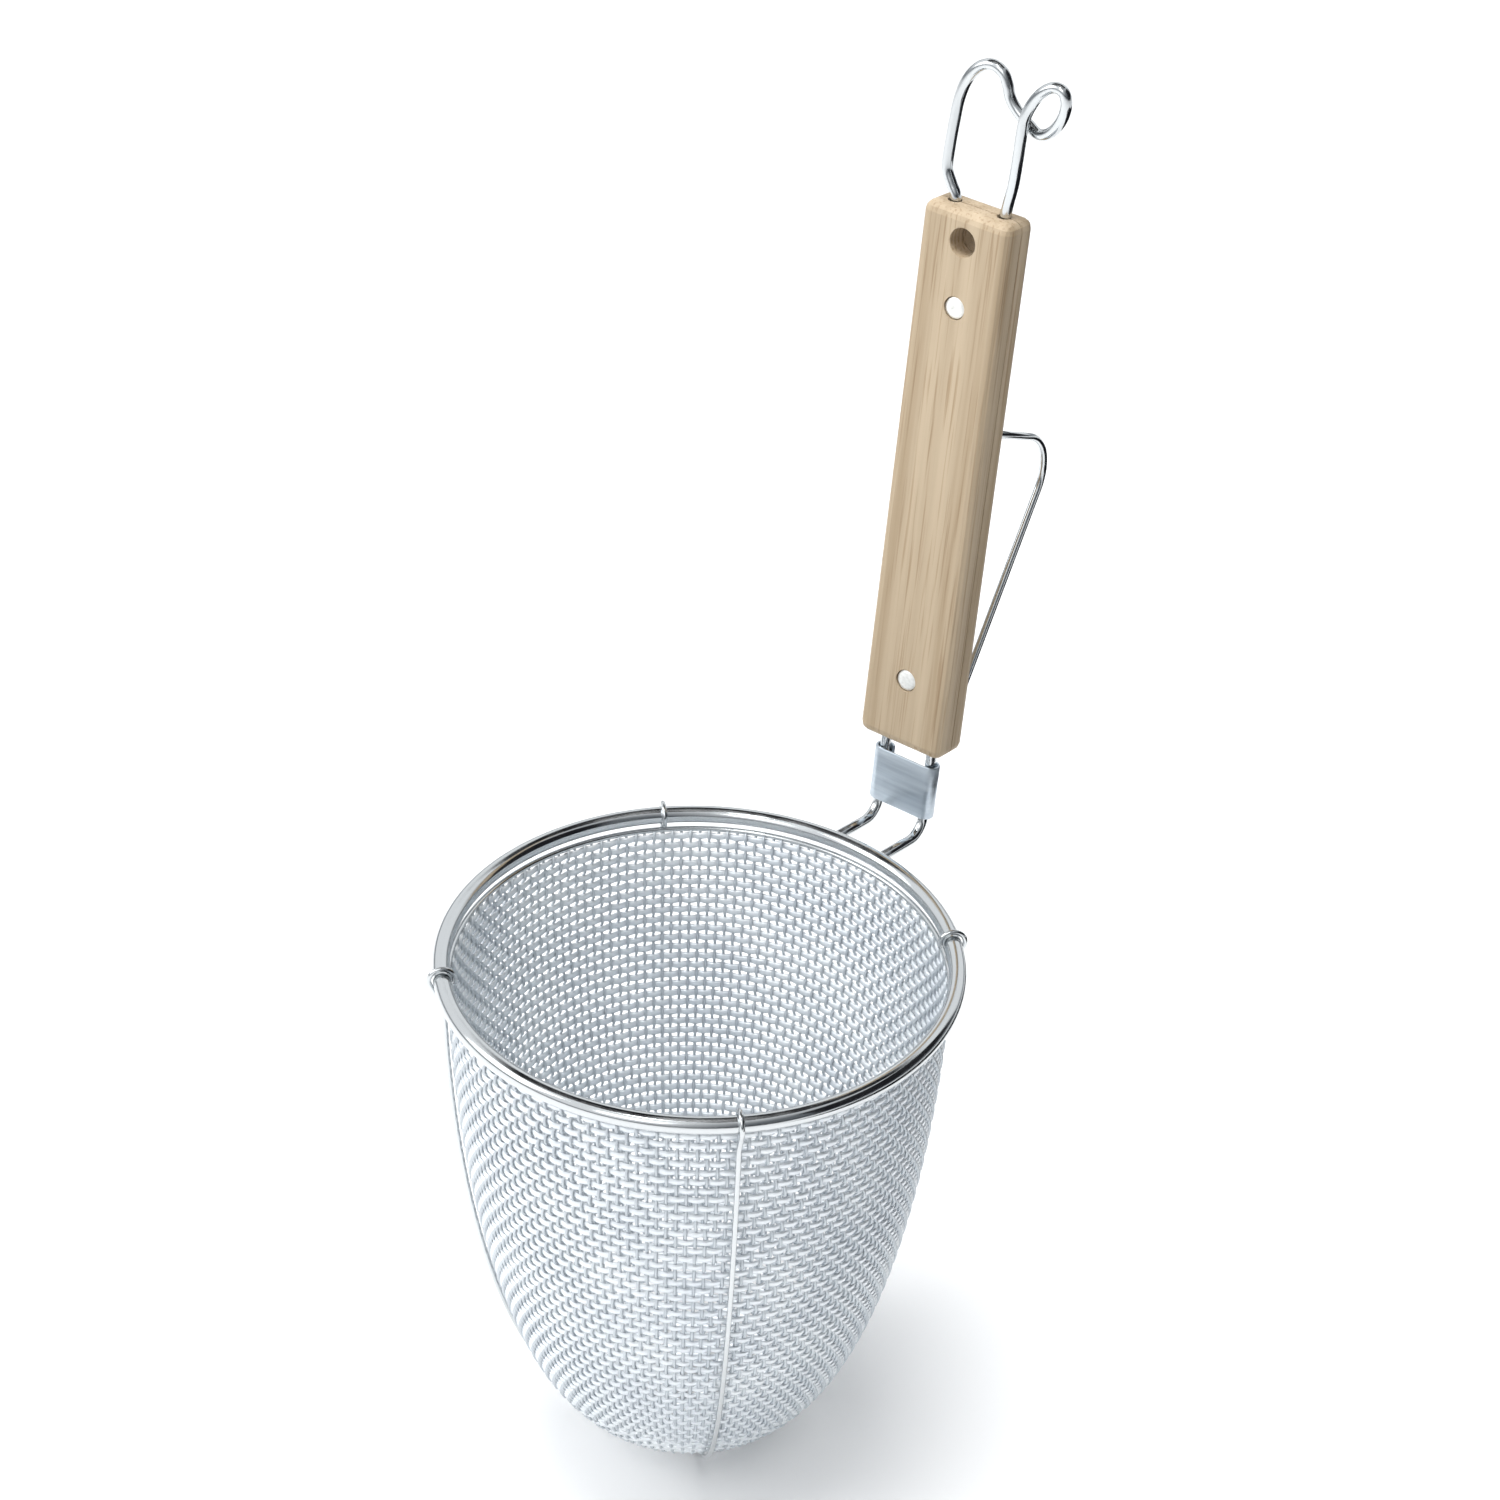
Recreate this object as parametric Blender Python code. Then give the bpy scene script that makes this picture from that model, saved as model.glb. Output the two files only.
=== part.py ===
"""Deep wire strainer basket with a wooden handle: frame, mesh cup, handle, hook and rest clip.

Metres, +Z up.  The handle stands at the back (+Y), the basket's axis is parallel to Z,
and the lowest wire touches Z = 0.
"""
import bpy
import math
from mathutils import Vector

MM = 0.001

# ---- driving dimensions, in metres ----
BASKET_AXIS_Y = -32.37 * MM     # basket axis, so that the origin is under the middle of the object
GAP = 0.3 * MM                  # clearance that touching pieces keep

RIM_RADIUS = 67.5 * MM          # rim wire, centre line
RIM_WIRE = 2.5 * MM             # rim wire, radius of its section
CUP_RADIUS = 66.2 * MM          # mesh cup, outer radius in the rim's plane
CUP_DEPTH = 155.0 * MM          # rim's plane to the cup's lowest point
CUP_WALL = 0.8 * MM             # thin shell that stands for the woven wires
CUP_SIDE_POWER = 3.13           # superellipse power on the radius
CUP_DEPTH_POWER = 1.79          # superellipse power on the depth
HEM_WIRE = 0.8 * MM             # thin hoop in the mesh's top edge, section radius

CROSS_WIRE = 0.7 * MM           # crossing support wires, section radius
CROSS_TURN = math.radians(2.0)  # their turn from the exact diagonals
CROSS_DROP_WIDTH = 6.0 * MM     # half width of the lower wire's dip under the upper one

FRAME_WIRE = 1.5 * MM           # handle wire, section radius
LEG_OFFSET = 7.6 * MM           # each leg's distance from the middle plane
NECK_OUT = 21.9 * MM            # rim wire's centre line to the handle's foot
LEAN = math.radians(6.1)        # handle's lean away from the basket

HANDLE_WIDTH = 27.0 * MM
HANDLE_THICK = 12.0 * MM
HANDLE_START = 23.5 * MM        # along the handle, from the rim's plane
HANDLE_LENGTH = 155.0 * MM
HANDLE_ROUND = 2.6 * MM
CHANNEL_RADIUS = 1.95 * MM      # groove for a leg, both halves together
HANG_HOLE_RADIUS = 4.0 * MM
HANG_HOLE_AT = 170.5 * MM
RIVETS_AT = {"upper": 152.5 * MM, "lower": 43.7 * MM}

RIVET_SHANK = 1.5 * MM
RIVET_HEAD = 2.9 * MM
RIVET_TAIL = 2.3 * MM
RECESS_DEPTH = 1.3 * MM
HEAD_RECESS = 3.2 * MM
WASHER_RADIUS = 3.5 * MM
WASHER_RECESS = 3.8 * MM
WASHER_THICK = 0.7 * MM

PLATE_START = 2.5 * MM
PLATE_LENGTH = 16.0 * MM
PLATE_SHEET = 0.8 * MM
PLATE_CURL = 2.3 * MM           # curl round a leg, radius to the middle of the sheet

CLIP_WIRE = 1.05 * MM           # rest clip, section radius
CLIP_ARM = 9.5 * MM             # each arm's distance from the middle plane
CLIP_ROOT_AT = 116.6 * MM       # along the handle, where the arms leave the wood
CLIP_FOOT_AT = 38.0 * MM        # along the handle, the crossbar
CLIP_REACH = 39.0 * MM          # corner of the bend, behind the handle's middle plane
CLIP_CORNER_AT = 105.5 * MM

# ---- worked out from them ----
RIM_Z = CROSS_WIRE + (3 * CROSS_WIRE + 2 * GAP) + CUP_DEPTH
HANDLE_BACK = HANDLE_THICK / 2
HANDLE_END = HANDLE_START + HANDLE_LENGTH
HEM_RADIUS = CUP_RADIUS - CUP_WALL / 2
HEM_DROP = RIM_WIRE + GAP + HEM_WIRE
CUP_TOP_DROP = HEM_DROP + HEM_WIRE + GAP
FOOT = Vector((0.0, BASKET_AXIS_Y + RIM_RADIUS + NECK_OUT, RIM_Z))


# ---- helpers ----
def clear_scene():
    """Remove every object that the scene starts with."""
    for item in list(bpy.data.objects):
        bpy.data.objects.remove(item, do_unlink=True)


def material(name, colour, roughness, metallic):
    """A Principled material with one colour, roughness and metallic value."""
    made = bpy.data.materials.new(name)
    made.use_nodes = True
    shader = made.node_tree.nodes["Principled BSDF"]
    shader.inputs["Base Color"].default_value = (*colour, 1.0)
    shader.inputs["Roughness"].default_value = roughness
    shader.inputs["Metallic"].default_value = metallic
    return made


def add_object(name, data, paint=None, parent=None):
    """Link an object that holds the data, with its material and parent."""
    made = bpy.data.objects.new(name, data)
    bpy.context.scene.collection.objects.link(made)
    if paint is not None:
        data.materials.append(paint)
    if parent is not None:
        made.parent = parent
    return made


def add_empty(name, place, turn=(0.0, 0.0, 0.0), parent=None):
    """An empty that carries a group of pieces."""
    made = add_object(name, None, parent=parent)
    made.location = place
    made.rotation_euler = turn
    return made


def tube(name, points, radius, paint, parent=None, resolution=2):
    """A wire: a poly curve through the points, with a round bevel and filled caps."""
    data = bpy.data.curves.new(name, "CURVE")
    data.dimensions = "3D"
    data.bevel_depth = radius
    data.bevel_resolution = resolution
    data.use_fill_caps = True
    data.render_resolution_u = 0
    spline = data.splines.new("POLY")
    spline.points.add(len(points) - 1)
    for point, place in zip(spline.points, points):
        point.co = (*place, 1.0)
    return add_object(name, data, paint, parent)


def turned(name, profile, steps, paint=None, closed=False, parent=None):
    """A turned piece: (radius, height) points carried round Z by a Screw modifier."""
    data = bpy.data.meshes.new(name)
    corners = [(radius, 0.0, height) for radius, height in profile]
    edges = [(index, index + 1) for index in range(len(corners) - 1)]
    if closed:
        edges.append((len(corners) - 1, 0))
    data.from_pydata(corners, edges, [])
    made = add_object(name, data, paint, parent)
    screw = made.modifiers.new("turn", "SCREW")
    screw.axis = "Z"
    screw.steps = steps
    screw.render_steps = steps
    screw.use_merge_vertices = True
    screw.merge_threshold = 0.00001
    screw.use_smooth_shade = True
    return made


def circle_profile(radius, section, height, corners):
    """A ring's round section, clockwise so that its outer side runs downwards."""
    turns = [-2 * math.pi * index / corners for index in range(corners)]
    return [(radius + section * math.cos(a), height + section * math.sin(a)) for a in turns]


def bent(points, radii, steps=6):
    """Straight runs between the points, with a round bend of its own radius at each corner."""
    path = [Vector(points[0])]
    for before, corner, after, radius in zip(points, points[1:], points[2:], radii):
        corner = Vector(corner)
        back = (Vector(before) - corner).normalized()
        ahead = (Vector(after) - corner).normalized()
        half = back.angle(ahead) / 2
        middle = (back + ahead).normalized()
        centre = corner + middle * (radius / math.sin(half))
        start = corner + back * (radius / math.tan(half)) - centre
        end = corner + ahead * (radius / math.tan(half)) - centre
        sweep = start.angle(end)
        for index in range(steps + 1):
            share = index / steps
            first = math.sin((1 - share) * sweep) / math.sin(sweep)
            second = math.sin(share * sweep) / math.sin(sweep)
            path.append(centre + start * first + end * second)
    path.append(Vector(points[-1]))
    return path


def smooth(points, steps):
    """A smooth curve that passes through every point (Catmull-Rom)."""
    ends = [Vector(points[0]) * 2 - Vector(points[1]), Vector(points[-1]) * 2 - Vector(points[-2])]
    knots = [ends[0]] + [Vector(point) for point in points] + [ends[1]]
    path = []
    for a, b, c, d in zip(knots, knots[1:], knots[2:], knots[3:]):
        for index in range(steps):
            t = index / steps
            path.append(0.5 * (2 * b + (c - a) * t + (2 * a - 5 * b + 4 * c - d) * t * t
                               + (3 * b - a - 3 * c + d) * t ** 3))
    path.append(knots[-2])
    return path


def cut(target, cutter):
    """Take the cutter out of the target with an exact Boolean."""
    cutter.hide_render = True
    cutter.display_type = "WIRE"
    step = target.modifiers.new("cut " + cutter.name, "BOOLEAN")
    step.operation = "DIFFERENCE"
    step.solver = "EXACT"
    step.object = cutter


def block(name, low, high, paint=None, parent=None):
    """A box between two corners, given in its parent's axes."""
    xs, ys, zs = zip(low, high)
    corners = [(x, y, z) for x in xs for y in ys for z in zs]
    faces = [(0, 1, 3, 2), (4, 6, 7, 5), (0, 4, 5, 1), (2, 3, 7, 6), (0, 2, 6, 4), (1, 5, 7, 3)]
    data = bpy.data.meshes.new(name)
    data.from_pydata(corners, [], faces)
    return add_object(name, data, paint, parent)


# ---- the cup's outline ----
def cup_point(angle, outset=0.0):
    """(radius, depth) on the cup's superellipse at a parameter angle, moved out along its normal."""
    radius = CUP_RADIUS * math.cos(angle) ** (2 / CUP_SIDE_POWER)
    depth = CUP_DEPTH * math.sin(angle) ** (2 / CUP_DEPTH_POWER)
    across = (radius / CUP_RADIUS) ** (CUP_SIDE_POWER - 1) * CUP_SIDE_POWER / CUP_RADIUS
    down = (depth / CUP_DEPTH) ** (CUP_DEPTH_POWER - 1) * CUP_DEPTH_POWER / CUP_DEPTH
    length = math.hypot(across, down)
    return radius + outset * across / length, depth + outset * down / length


def cup_line(outset, rows, first_depth):
    """Points down the cup from a depth under the rim to its lowest point, moved out."""
    start = math.asin((first_depth / CUP_DEPTH) ** (CUP_DEPTH_POWER / 2))
    end = math.pi / 2
    angles = [start + (end - start) * (index / rows) ** 0.8 for index in range(rows)]
    line = [cup_point(angle, outset) for angle in angles]
    line.append((0.0, CUP_DEPTH + outset))
    return line


# ---- the basket ----
def make_rim(paint):
    """The thick rim wire, welded into a hoop."""
    ring = turned("rim_ring", circle_profile(RIM_RADIUS, RIM_WIRE, 0.0, 10), 48, paint, closed=True)
    ring.location = (0.0, BASKET_AXIS_Y, RIM_Z)


def make_hem(paint):
    """The thin hoop that the mesh's top edge is folded round, under the rim."""
    hoop = turned("hem_wire", circle_profile(HEM_RADIUS, HEM_WIRE, -HEM_DROP, 6), 48, paint, closed=True)
    hoop.location = (0.0, BASKET_AXIS_Y, RIM_Z)


def make_cup(paint):
    """The mesh cup, as a thin closed shell with the outline of the mesh."""
    outer = cup_line(0.0, 15, CUP_TOP_DROP)
    inner = cup_line(-CUP_WALL, 15, CUP_TOP_DROP)
    inner[0] = (outer[0][0] - CUP_WALL, outer[0][1])
    profile = [(radius, -depth) for radius, depth in inner[::-1] + outer]
    cup = turned("mesh_basket", profile, 48, paint)
    cup.location = (0.0, BASKET_AXIS_Y, RIM_Z)


def cross_half(dip):
    """One support wire from its hook's end over the rim down to the cup's lowest point."""
    clear = CROSS_WIRE + GAP
    hook_radius = RIM_WIRE + clear
    turns = [math.radians(200 - 220 * index / 10) for index in range(11)]
    hook = [(RIM_RADIUS + hook_radius * math.cos(a), -hook_radius * math.sin(a)) for a in turns]
    side = []
    for radius, depth in cup_line(clear, 18, 9.0 * MM):
        extra = dip * math.exp(-(radius / CROSS_DROP_WIDTH) ** 2)
        side.append((radius, depth + extra))
    return hook + side


def make_cross_wire(name, heading, dip, paint):
    """A support wire: hooked over the rim, down the mesh, under it and up the other side."""
    half = cross_half(dip)
    there = [(radius, 0.0, -depth) for radius, depth in half]
    back = [(-radius, 0.0, -depth) for radius, depth in half[-2::-1]]
    wire = tube(name, there + back, CROSS_WIRE, paint)
    wire.location = (0.0, BASKET_AXIS_Y, RIM_Z)
    wire.rotation_euler = (0.0, 0.0, heading + CROSS_TURN)


# ---- the handle's wire ----
def from_level(out, up, side):
    """A point given level with the rim, in the leaning handle's axes (across, behind, along)."""
    behind = out * math.cos(LEAN) - up * math.sin(LEAN)
    along = out * math.sin(LEAN) + up * math.cos(LEAN)
    return (side, behind, along)


def leg_path(side):
    """A leg from its weld on the rim, out and up through the curled plate into the wood."""
    rim_edge = math.sqrt(RIM_RADIUS ** 2 - LEG_OFFSET ** 2) + RIM_WIRE + 0.5 * MM
    end = from_level(rim_edge - RIM_RADIUS - NECK_OUT, -1.0 * MM, side)
    corner = from_level(-0.6 * MM, -3.6 * MM, side)
    return bent([end, corner, (side, 0.0, HANDLE_START)], [5.8 * MM], 8)


def hook_path():
    """The hanging hook above the wood: an arch, then a curl that passes behind itself."""
    # across, behind, along, in millimetres, where along starts at the wood's end
    knots = [(-7.6, 0.0, -4.0), (-7.7, 0.0, 1.0), (-9.4, 0.0, 3.9), (-11.2, 0.0, 7.6),
             (-11.2, 0.0, 14.0), (-10.8, 0.0, 20.5), (-10.2, 0.0, 26.5), (-8.6, 0.1, 32.0),
             (-5.6, 0.3, 36.0), (-2.1, 0.5, 37.5), (1.1, 0.7, 36.4), (2.8, 1.0, 33.6),
             (4.0, 1.3, 30.2), (6.4, 1.6, 27.4), (9.9, 1.75, 25.0), (13.8, 1.2, 23.5),
             (17.5, 0.6, 25.3), (20.3, 0.0, 29.2), (21.5, -0.5, 33.6), (20.5, -1.0, 37.0),
             (17.6, -1.3, 37.4), (14.4, -1.5, 35.0), (12.1, -1.65, 31.3), (10.8, -1.75, 27.2),
             (10.4, -1.6, 22.4), (10.0, -1.1, 16.0), (9.3, -0.4, 9.3), (8.2, 0.0, 3.0),
             (7.6, 0.0, -4.0)]
    return smooth([(x * MM, y * MM, HANDLE_END + z * MM) for x, y, z in knots], 3)


def make_handle_wire(paint, frame):
    """One wire: rim, left leg, hook, right leg, rim."""
    left = leg_path(-LEG_OFFSET)
    right = leg_path(LEG_OFFSET)
    tube("handle_wire", left + hook_path() + right[::-1], FRAME_WIRE, paint, frame, 3)


# ---- the neck plate ----
def make_neck_plate(paint, frame):
    """Sheet plate across the two legs, with both side edges curled round them."""
    turns = [math.radians(-90 + 30 * index) for index in range(9)]
    curl = [(LEG_OFFSET + PLATE_CURL * math.cos(a), PLATE_CURL * math.sin(a)) for a in turns]
    middle = curl[::-1] + [(-x, y) for x, y in curl]
    count = len(middle)
    normals = []
    for index in range(count):
        ahead = middle[min(index + 1, count - 1)]
        behind = middle[max(index - 1, 0)]
        run = Vector((ahead[0] - behind[0], ahead[1] - behind[1])).normalized()
        normals.append((-run.y, run.x))
    half = PLATE_SHEET / 2
    corners = []
    for height in (PLATE_START, PLATE_START + PLATE_LENGTH):
        for side in (half, -half):
            for (x, y), (nx, ny) in zip(middle, normals):
                corners.append((x + side * nx, y + side * ny, height))
    faces = []
    for index in range(count - 1):
        a, b = index, index + 1
        faces.append((a, b, b + count, a + count))
        faces.append((a + 2 * count, a + 3 * count, b + 3 * count, b + 2 * count))
        faces.append((a, a + 2 * count, b + 2 * count, b))
        faces.append((a + count, b + count, b + 3 * count, a + 3 * count))
    for index, order in ((0, 1), (count - 1, -1)):
        end = (index, index + count, index + 3 * count, index + 2 * count)
        faces.append(end[::order])
    data = bpy.data.meshes.new("neck_plate")
    data.from_pydata(corners, [], faces)
    data.shade_smooth()
    data.set_sharp_from_angle(angle=math.radians(40))
    add_object("neck_plate", data, paint, frame)


# ---- the wooden handle ----
def rivet_hole(name, along, frame):
    """Cutter for a rivet: its hole, the head's recess in front and the washer's behind."""
    hole = RIVET_SHANK + GAP
    top = HANDLE_BACK + 1.0 * MM
    floor = HANDLE_BACK - RECESS_DEPTH
    profile = [(0.0, top), (WASHER_RECESS, top), (WASHER_RECESS, floor), (hole, floor),
               (hole, -floor), (HEAD_RECESS, -floor), (HEAD_RECESS, -top), (0.0, -top)]
    cutter = turned(name, profile, 24, parent=frame)
    cutter.location = (0.0, 0.0, along)
    cutter.rotation_euler = (-math.pi / 2, 0.0, 0.0)
    return cutter


def bar_cutter(name, radius, length, steps, frame):
    """A plain round cutter along its own Z, centred."""
    profile = [(0.0, length / 2), (radius, length / 2), (radius, -length / 2), (0.0, -length / 2)]
    return turned(name, profile, steps, parent=frame)


def make_handle(paint, frame):
    """Two wooden halves, grooved for the legs, with the rivets' and the hanging hole."""
    cutters = []
    for label, side in (("left", -LEG_OFFSET), ("right", LEG_OFFSET)):
        groove = bar_cutter("groove_" + label, CHANNEL_RADIUS, HANDLE_LENGTH + 20 * MM, 12, frame)
        groove.location = (side, 0.0, HANDLE_START + HANDLE_LENGTH / 2)
        cutters.append(groove)
    for label, along in RIVETS_AT.items():
        cutters.append(rivet_hole("hole_" + label, along, frame))
    hang = bar_cutter("hang_hole", HANG_HOLE_RADIUS, HANDLE_THICK + 10 * MM, 24, frame)
    hang.location = (0.0, 0.0, HANG_HOLE_AT)
    hang.rotation_euler = (-math.pi / 2, 0.0, 0.0)
    cutters.append(hang)
    wide = HANDLE_WIDTH / 2
    far = HANDLE_WIDTH
    for name, sign in (("handle_front_half", -1), ("handle_back_half", 1)):
        half = block(name, (-wide, -HANDLE_BACK, HANDLE_START), (wide, HANDLE_BACK, HANDLE_END),
                     paint, frame)
        rounding = half.modifiers.new("rounded edges", "BEVEL")
        rounding.width = HANDLE_ROUND
        rounding.segments = 3
        split = sorted((-sign * far, sign * GAP / 2))
        other = block("split_" + name, (-far, split[0], 0.0), (far, split[1], HANDLE_END + far),
                      parent=frame)
        cut(half, other)
        for cutter in cutters:
            cut(half, cutter)


# ---- rivets and washers ----
def make_rivet(name, along, paint, frame, dimple):
    """A rivet: flush domed head in front, shank through both halves, peened tail behind."""
    head_under = HANDLE_BACK - RECESS_DEPTH + GAP
    head_edge = HANDLE_BACK - 0.45 * MM
    crown = HANDLE_BACK - 0.1 * MM
    tail_under = head_under + WASHER_THICK + GAP
    tail_top = tail_under + 0.7 * MM
    profile = [(0.0, tail_top), (RIVET_TAIL * 0.6, tail_top - 0.1 * MM),
               (RIVET_TAIL, tail_top - 0.45 * MM), (RIVET_TAIL, tail_under),
               (RIVET_SHANK, tail_under), (RIVET_SHANK, -head_under), (RIVET_HEAD, -head_under),
               (RIVET_HEAD, -head_edge), (RIVET_HEAD * 0.8, -crown + 0.1 * MM),
               (RIVET_HEAD * 0.35, -crown), (0.0, -crown + dimple)]
    rivet = turned(name, profile, 24, paint, parent=frame)
    rivet.location = (0.0, 0.0, along)
    rivet.rotation_euler = (-math.pi / 2, 0.0, 0.0)


def make_washer(name, along, paint, frame):
    """The washer that a rivet's tail is closed on, in its recess at the back."""
    low = HANDLE_BACK - RECESS_DEPTH + GAP
    high = low + WASHER_THICK
    inner = RIVET_SHANK + GAP
    profile = [(inner, high), (WASHER_RADIUS, high), (WASHER_RADIUS, low), (inner, low)]
    washer = turned(name, profile, 24, paint, closed=True, parent=frame)
    washer.location = (0.0, 0.0, along)
    washer.rotation_euler = (-math.pi / 2, 0.0, 0.0)


# ---- the rest clip ----
def make_rest_clip(paint, frame):
    """Sprung wire clip: two arms out of the handle's back, joined by a crossbar at the foot."""
    root = HANDLE_BACK + GAP
    pivot = add_empty("rest_clip_pivot", (0.0, root, CLIP_ROOT_AT), parent=frame)
    touch = HANDLE_BACK + CLIP_WIRE + GAP - root
    reach = CLIP_REACH - root
    corner = CLIP_CORNER_AT - CLIP_ROOT_AT
    foot = CLIP_FOOT_AT - CLIP_ROOT_AT
    one_side = [(0.0, 0.0), (reach, corner), (touch, foot)]
    points = [(-CLIP_ARM, y, z) for y, z in one_side]
    points += [(CLIP_ARM, y, z) for y, z in one_side[::-1]]
    big, small = 13.0 * MM, 3.0 * MM
    tube("rest_clip", bent(points, [big, small, small, big], 8), CLIP_WIRE, paint, pivot)


def main():
    """Make every piece of the strainer."""
    clear_scene()
    polished = material("polished_steel", (0.62, 0.64, 0.65), 0.18, 1.0)
    woven = material("mesh_steel", (0.74, 0.77, 0.79), 0.35, 1.0)
    satin = material("satin_steel", (0.45, 0.50, 0.54), 0.40, 1.0)
    rivet_metal = material("rivet_aluminium", (0.80, 0.80, 0.78), 0.45, 1.0)
    wood = material("pale_wood", (0.58, 0.44, 0.28), 0.70, 0.0)

    make_rim(polished)
    make_hem(polished)
    make_cup(woven)
    low_dip = 2 * CROSS_WIRE + GAP
    make_cross_wire("cross_wire_lower", math.radians(-45), low_dip, polished)
    make_cross_wire("cross_wire_upper", math.radians(45), 0.0, polished)

    frame = add_empty("handle_frame", FOOT, (-LEAN, 0.0, 0.0))
    make_handle_wire(polished, frame)
    make_neck_plate(satin, frame)
    make_handle(wood, frame)
    make_rivet("rivet_upper", RIVETS_AT["upper"], rivet_metal, frame, 0.35 * MM)
    make_rivet("rivet_lower", RIVETS_AT["lower"], rivet_metal, frame, 0.0)
    for label, along in RIVETS_AT.items():
        make_washer("washer_" + label, along, rivet_metal, frame)
    make_rest_clip(polished, frame)


main()
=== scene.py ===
"""Looks of a deep wire strainer basket: woven cup, bright rim, leaning wooden handle, hook and rest clip.

Metres, +Z up.  The basket's axis is parallel to Z, and the handle stands behind it, towards +Y.
"""
import math

import bmesh
import bpy
import numpy as np
from mathutils import Matrix, Vector


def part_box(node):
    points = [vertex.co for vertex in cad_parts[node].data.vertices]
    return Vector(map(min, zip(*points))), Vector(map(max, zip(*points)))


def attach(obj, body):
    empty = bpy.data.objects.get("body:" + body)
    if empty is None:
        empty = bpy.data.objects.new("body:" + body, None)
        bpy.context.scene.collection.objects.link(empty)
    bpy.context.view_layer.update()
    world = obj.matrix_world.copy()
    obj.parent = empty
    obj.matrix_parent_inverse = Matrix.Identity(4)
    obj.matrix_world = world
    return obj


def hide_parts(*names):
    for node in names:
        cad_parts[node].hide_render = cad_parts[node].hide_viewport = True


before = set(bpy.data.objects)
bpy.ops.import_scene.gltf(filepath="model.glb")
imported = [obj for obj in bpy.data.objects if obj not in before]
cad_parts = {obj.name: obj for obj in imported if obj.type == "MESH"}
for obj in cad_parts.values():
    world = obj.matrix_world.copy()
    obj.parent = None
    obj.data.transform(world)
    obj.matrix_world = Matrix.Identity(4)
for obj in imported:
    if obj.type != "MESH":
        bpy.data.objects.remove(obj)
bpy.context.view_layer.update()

MM = 0.001

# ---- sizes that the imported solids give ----
rim_low, rim_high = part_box("rim_ring")
RIM_Z = (rim_low.z + rim_high.z) / 2
RIM_WIRE = (rim_high.z - rim_low.z) / 2
RIM_RADIUS = (rim_high.x - rim_low.x) / 2 - RIM_WIRE
AXIS_Y = (rim_low.y + rim_high.y) / 2
cup_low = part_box("mesh_basket")[0]
CUP_DEPTH = RIM_Z - cup_low.z
hem_low, hem_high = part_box("hem_wire")

# ---- the cup and its weave ----
CUP_RADIUS = 66.2 * MM          # outer radius in the rim's plane
SIDE_POWER = 3.13               # superellipse power on the radius
DEPTH_POWER = 1.79              # superellipse power on the depth
HOOP_HALF = (0.44 * MM, 1.06 * MM)         # a hoop's flattened section: half its depth and its height
UPRIGHT_HALF = (0.42 * MM, 0.42 * MM)      # an upright wire's round section
HOOP_SWING = 0.20 * MM          # how far a hoop swings to each side as it passes over and under
UPRIGHT_SWING = 0.58 * MM       # the thinner uprights bend round the hoops
MESH_INSET = 0.90 * MM          # outer surface to the middle of the weave
HOOP_PITCH = 3.05 * MM          # along the cup's side
MESH_START = 5.6 * MM           # first hoop, along the side from the rim's plane
WIRE_COUNT = 160                # upright wires at the rim
ZONE_RADII = (42 * MM, 22 * MM, 11 * MM)   # where every second upright wire ends
MESH_END_RADIUS = 3.6 * MM      # where the weave stops at the bottom
WEAVE_SIDES = 6                 # flats round a woven wire
QUARTER = (-0.25, 0.25)         # a wave's two points to each side of a crossing
OUTLINE_STEPS = 6001            # points of the outline's table

# ---- hem and support wires ----
HEM_WIRE = 0.8 * MM
HEM_RADIUS = (hem_high.x - hem_low.x) / 2 - HEM_WIRE
HEM_DROP = 3.6 * MM
CROSS_WIRE = 0.7 * MM
CROSS_TURN = math.radians(2.0)
CROSS_GAP = 0.3 * MM
CROSS_DIP_WIDTH = 6.0 * MM
HOOK_SWEEP = (200.0, -20.0)     # degrees round the rim wire's section
HOOK_STEPS = 25                 # points round a hook
CROSS_STEPS = 110               # points from a hook to the lowest point
RING_STEPS = 256                # points round a hoop of the top
CROSS_START = 9.0 * MM          # along the side, where a support wire meets the mesh

# ---- the handle's own axes: across, behind, along ----
LEAN = math.radians(6.1)
NECK_OUT = 21.9 * MM
FOOT = np.array((0.0, AXIS_Y + RIM_RADIUS + NECK_OUT, RIM_Z))
ACROSS = np.array((1.0, 0.0, 0.0))
BEHIND = np.array((0.0, math.cos(LEAN), -math.sin(LEAN)))
ALONG = np.array((0.0, math.sin(LEAN), math.cos(LEAN)))
HANDLE_START = 23.5 * MM
HANDLE_END = 178.5 * MM
HANDLE_BACK = 6.0 * MM
FRAME_WIRE = 1.5 * MM
LEG_OFFSET = 7.6 * MM
LEG_BEND = 5.8 * MM
LEG_CORNER = (-0.6 * MM, -3.6 * MM)         # out and up from the handle's foot
LEG_DROP = 1.0 * MM             # a leg's end under the rim wire's middle
LEG_SINK = 0.6 * MM             # a leg's end inside the rim wire's flank
WELD_HALF = (2.0 * MM, 1.6 * MM, 1.5 * MM)
WELD_ROWS = 13
WELD_COLUMNS = 24

PLATE_START = 2.5 * MM
PLATE_LENGTH = 16.0 * MM
HALF_SHEET = 0.4 * MM           # half the sheet's thickness
PLATE_EDGE = 0.25 * MM          # length of the bevel at the cut ends
PLATE_BEVEL = 0.6               # each face draws in by this share of that length
PLATE_CURL = 2.3 * MM

CLIP_WIRE = 1.05 * MM
CLIP_ARM = 9.5 * MM
CLIP_ROOT_AT = 116.6 * MM
CLIP_FOOT_AT = 38.0 * MM
CLIP_REACH = 39.0 * MM
CLIP_CORNER_AT = 105.5 * MM
CLIP_BENDS = (13.0 * MM, 3.0 * MM, 3.0 * MM, 13.0 * MM)

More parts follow.
